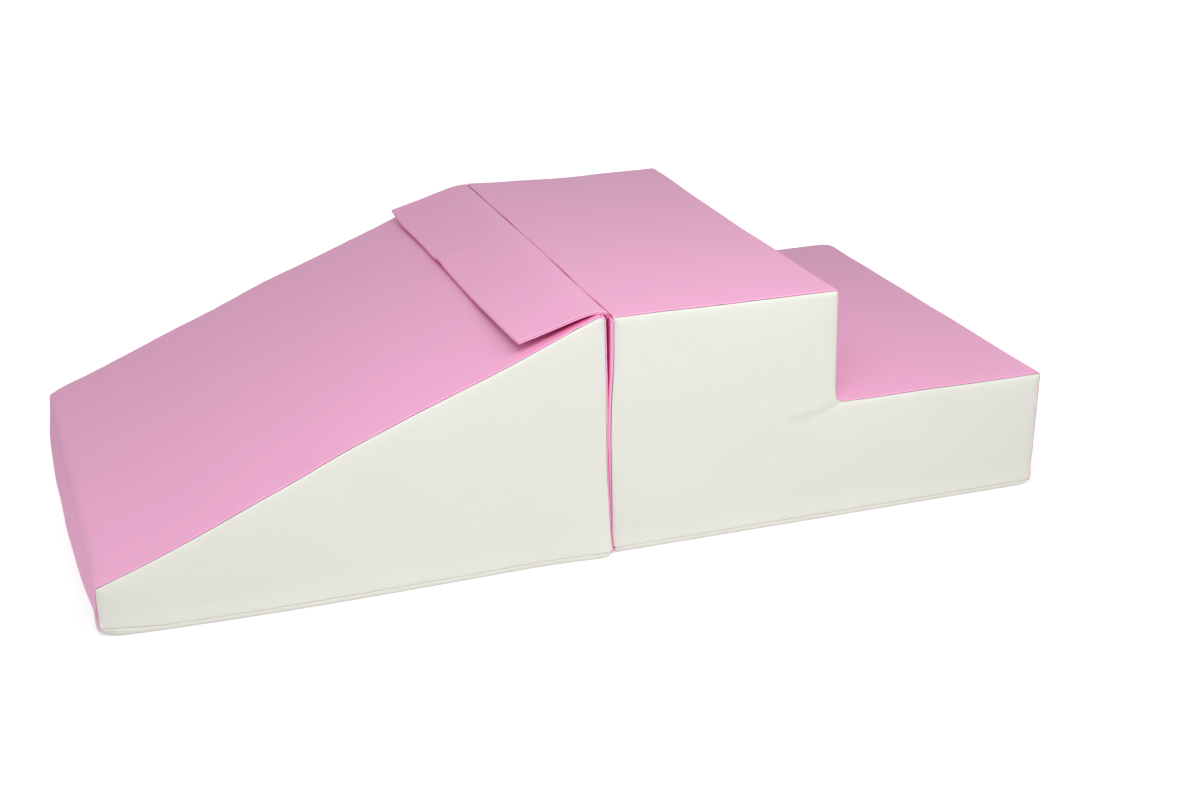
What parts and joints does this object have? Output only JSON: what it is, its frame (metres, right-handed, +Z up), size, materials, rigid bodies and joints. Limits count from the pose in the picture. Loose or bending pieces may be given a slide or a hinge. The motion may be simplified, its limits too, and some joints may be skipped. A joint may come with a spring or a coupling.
{
  "type": "soft play foam climber",
  "caption": "Two upholstered foam blocks side by side, a wedge to slide down and a stepped block to climb, with a sewn flap lying over the joint.",
  "frame": {"origin": "on the floor, in the middle of the object's length and width", "axes": "+X from the slide's low end to the steps, +Y from front to rear, +Z up"},
  "size_m": [1.224, 0.606, 0.3106],
  "materials": {
    "pink_leatherette": "satin",
    "white_leatherette": "satin",
    "foam": "matte",
    "hook_and_loop_tape": "matte",
    "zip_tape": "matte",
    "zip_coil": "satin",
    "zip_metal": "satin"
  },
  "bodies": {
    "step_block": {"step_foam_lower": "foam", "step_foam_upper": "foam", "step_top_cover": "pink_leatherette", "step_joint_cover": "pink_leatherette", "step_front_panel": "white_leatherette", "step_rear_panel": "white_leatherette", "step_base_front_panel": "white_leatherette", "step_base_rear_panel": "white_leatherette", "step_zip_front_tape": "zip_tape", "step_zip_rear_tape": "zip_tape", "step_zip_front_coil": "zip_coil", "step_zip_rear_coil": "zip_coil", "step_zip_bottom_stop": "zip_metal", "step_zip_front_top_stop": "zip_metal", "step_zip_rear_top_stop": "zip_metal", "flap_root_strip": "pink_leatherette"},
    "flap": {"flap_outer": "pink_leatherette", "flap_lining": "pink_leatherette", "flap_hook_strip": "hook_and_loop_tape"},
    "slide_block": {"slide_foam_core": "foam", "slide_slope_cover": "pink_leatherette", "slide_joint_cover": "pink_leatherette", "slide_front_panel": "white_leatherette", "slide_rear_panel": "white_leatherette", "slide_base_front_panel": "white_leatherette", "slide_base_rear_panel": "white_leatherette", "slide_loop_strip": "hook_and_loop_tape", "slide_zip_front_tape": "zip_tape", "slide_zip_rear_tape": "zip_tape", "slide_zip_front_coil": "zip_coil", "slide_zip_rear_coil": "zip_coil", "slide_zip_bottom_stop": "zip_metal", "slide_zip_front_top_stop": "zip_metal", "slide_zip_rear_top_stop": "zip_metal"},
    "slide_slider": {"slide_zip_slider": "zip_metal"},
    "slide_pull": {"slide_zip_pull": "zip_metal"},
    "step_slider": {"step_zip_slider": "zip_metal"},
    "step_pull": {"step_zip_pull": "zip_metal"}
  },
  "joints": [
    {"name": "flap_hinge", "type": "hinge", "parent": "step_block", "child": "flap", "pos_m": [0.00735, 0, 0.30922], "axis": [0, 1, 0], "range_deg": [0, 180]},
    {"name": "blocks_part", "type": "slide", "parent": "step_block", "child": "slide_block", "axis": [0, 1, 0], "range_m": [0, 0.62]},
    {"name": "slide_zip_run", "type": "slide", "parent": "slide_block", "child": "slide_slider", "axis": [-1, 0, 0], "range_m": [0, 0.463]},
    {"name": "slide_pull_turn", "type": "hinge", "parent": "slide_slider", "child": "slide_pull", "pos_m": [-0.064, 0, 0.0011], "axis": [0, -1, 0], "range_deg": [0, 170]},
    {"name": "step_zip_run", "type": "slide", "parent": "step_block", "child": "step_slider", "axis": [-1, 0, 0], "range_m": [0, 0.463]},
    {"name": "step_pull_turn", "type": "hinge", "parent": "step_slider", "child": "step_pull", "pos_m": [0.544, 0, 0.0011], "axis": [0, -1, 0], "range_deg": [0, 170]}
  ]
}
